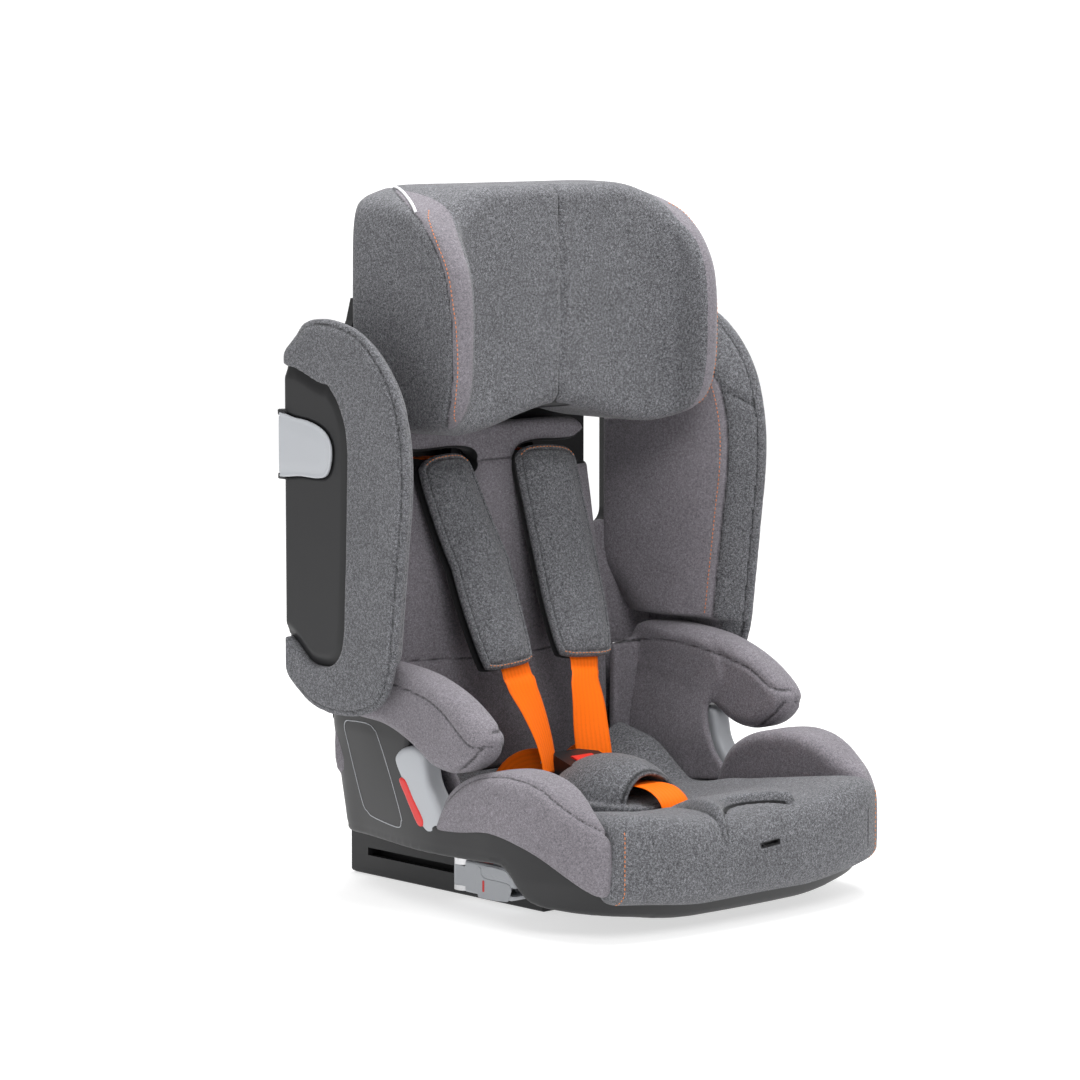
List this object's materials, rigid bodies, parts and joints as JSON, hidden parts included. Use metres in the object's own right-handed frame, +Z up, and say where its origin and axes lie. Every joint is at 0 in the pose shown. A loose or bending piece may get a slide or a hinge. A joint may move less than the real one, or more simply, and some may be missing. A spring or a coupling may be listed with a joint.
{
  "type": "convertible car seat",
  "caption": "Child car seat: booster base with slide-out lower anchors, hinged winged backrest, sliding winged headrest and padded harness.",
  "frame": {"origin": "on the flat underside of the base, on the mirror plane, 84 mm in front of the pan's rear edge", "axes": "+Z up, -Y the way the child faces, +X across the seat; the seat is symmetric about X = 0"},
  "size_m": [0.5, 0.478, 0.704],
  "materials": {
    "charcoal_plastic": "fine grained",
    "black_plastic": "satin",
    "light_plastic": "satin light grey",
    "red_plastic": "satin red",
    "steel": "zinc plated",
    "dark_fabric": "heathered dark grey knit",
    "light_fabric": "heathered mauve grey knit",
    "webbing": "ribbed orange webbing",
    "foam": "expanded foam"
  },
  "bodies": {
    "base": {"base_shell": "charcoal_plastic", "base_bottom_cover": "charcoal_plastic", "base_screws": "steel", "arm_upright_left": "charcoal_plastic", "arm_upright_right": "charcoal_plastic", "armrest_pad_left": "light_fabric", "armrest_pad_right": "light_fabric", "belt_guide_left": "light_plastic", "belt_guide_right": "light_plastic", "seat_cushion": "dark_fabric", "side_bolster_left": "light_fabric", "side_bolster_right": "light_fabric", "hinge_brackets": "black_plastic", "hinge_pins": "steel", "rail_housing_left": "charcoal_plastic", "rail_housing_right": "charcoal_plastic", "rail_end_caps": "charcoal_plastic", "lap_straps": "webbing", "buckle_tongues": "steel", "buckle_body": "black_plastic", "crotch_pad": "dark_fabric", "crotch_strap": "webbing", "adjuster_housing": "black_plastic", "adjuster_flap": "dark_fabric"},
    "backrest": {"backrest_shell": "charcoal_plastic", "rear_cover": "charcoal_plastic", "strap_yoke": "steel", "stem_guides": "black_plastic", "lock_rack": "steel", "back_pad": "light_fabric", "wing_pad_left": "dark_fabric", "wing_pad_right": "dark_fabric", "wing_foams": "foam", "wing_panel_left": "charcoal_plastic", "wing_panel_right": "charcoal_plastic", "flap_pins": "steel", "shoulder_pad_left": "dark_fabric", "shoulder_pad_right": "dark_fabric", "shoulder_straps": "webbing"},
    "headrest": {"headrest_shell": "black_plastic", "headrest_foam": "foam", "headrest_pad": "dark_fabric", "headrest_stem": "steel"},
    "height_lever": {"height_lever": "black_plastic"},
    "lock_pin": {"lock_pin": "steel"},
    "buckle_button": {"buckle_button": "red_plastic"},
    "adjuster_button": {"adjuster_button": "black_plastic"},
    "side_flap_left": {"side_flap_left": "light_plastic"},
    "isofix_carriage_left": {"isofix_carriage_left": "steel", "isofix_pivot_pin_left": "steel"},
    "isofix_connector_left": {"isofix_connector_left": "light_plastic"},
    "isofix_jaw_left": {"isofix_jaw_left": "steel"},
    "isofix_button_left": {"isofix_button_left": "red_plastic"},
    "side_flap_right": {"side_flap_right": "light_plastic"},
    "isofix_carriage_right": {"isofix_carriage_right": "steel", "isofix_pivot_pin_right": "steel"},
    "isofix_connector_right": {"isofix_connector_right": "light_plastic"},
    "isofix_jaw_right": {"isofix_jaw_right": "steel"},
    "isofix_button_right": {"isofix_button_right": "red_plastic"}
  },
  "joints": [
    {"name": "backrest_recline", "type": "hinge", "parent": "base", "child": "backrest", "pos_m": [0, 0.045, 0.08], "axis": [-1, 0, 0], "range_deg": [0, 15]},
    {"name": "headrest_height", "type": "slide", "parent": "backrest", "child": "headrest", "axis": [0, 0, 1], "range_m": [0, 0.15]},
    {"name": "height_lever_pull", "type": "slide", "parent": "headrest", "child": "height_lever", "axis": [0, 0, 1], "range_m": [0, 0.008], "stiffness_N_per_m": 900, "springref_m": -0.004},
    {"name": "lock_pin_release", "type": "slide", "parent": "headrest", "child": "lock_pin", "axis": [0, -1, 0], "range_m": [0, 0.004]},
    {"name": "buckle_button_press", "type": "slide", "parent": "base", "child": "buckle_button", "axis": [0, 0.2924, -0.9563], "range_m": [0, 0.003], "stiffness_N_per_m": 1200, "springref_m": -0.002},
    {"name": "adjuster_button_press", "type": "slide", "parent": "base", "child": "adjuster_button", "axis": [0, 0, -1], "range_m": [0, 0.006], "stiffness_N_per_m": 900, "springref_m": -0.003},
    {"name": "side_flap_left_swing", "type": "hinge", "parent": "backrest", "child": "side_flap_left", "pos_m": [-0.246, 0.053, 0.4515], "axis": [0, 0, -1], "range_deg": [0, 40]},
    {"name": "isofix_left_slide", "type": "slide", "parent": "base", "child": "isofix_carriage_left", "axis": [0, 1, 0], "range_m": [0, 0.148]},
    {"name": "isofix_left_pivot", "type": "hinge", "parent": "isofix_carriage_left", "child": "isofix_connector_left", "pos_m": [-0.14, -0.1, 0.0285], "axis": [0, 0, -1], "range_deg": [0, 180]},
    {"name": "isofix_left_release", "type": "slide", "parent": "isofix_connector_left", "child": "isofix_button_left", "axis": [0, -1, 0], "range_m": [0, 0.005], "stiffness_N_per_m": 300, "springref_m": -0.002},
    {"name": "isofix_left_jaw_close", "type": "hinge", "parent": "isofix_connector_left", "child": "isofix_jaw_left", "pos_m": [-0.14, -0.152, 0.035], "axis": [1, 0, 0], "range_deg": [0, 15]},
    {"name": "side_flap_right_swing", "type": "hinge", "parent": "backrest", "child": "side_flap_right", "pos_m": [0.246, 0.053, 0.4515], "axis": [0, 0, 1], "range_deg": [0, 40]},
    {"name": "isofix_right_slide", "type": "slide", "parent": "base", "child": "isofix_carriage_right", "axis": [0, 1, 0], "range_m": [0, 0.148]},
    {"name": "isofix_right_pivot", "type": "hinge", "parent": "isofix_carriage_right", "child": "isofix_connector_right", "pos_m": [0.14, -0.1, 0.0285], "axis": [0, 0, 1], "range_deg": [0, 180]},
    {"name": "isofix_right_release", "type": "slide", "parent": "isofix_connector_right", "child": "isofix_button_right", "axis": [0, -1, 0], "range_m": [0, 0.005], "stiffness_N_per_m": 300, "springref_m": -0.002},
    {"name": "isofix_right_jaw_close", "type": "hinge", "parent": "isofix_connector_right", "child": "isofix_jaw_right", "pos_m": [0.14, -0.152, 0.035], "axis": [1, 0, 0], "range_deg": [0, 15]}
  ],
  "couplings": [
    {"joint": "lock_pin_release", "follows": "height_lever_pull", "ratio": 0.5},
    {"joint": "isofix_left_jaw_close", "follows": "isofix_left_release", "rad_per_m": 52},
    {"joint": "isofix_right_jaw_close", "follows": "isofix_right_release", "rad_per_m": 52}
  ]
}
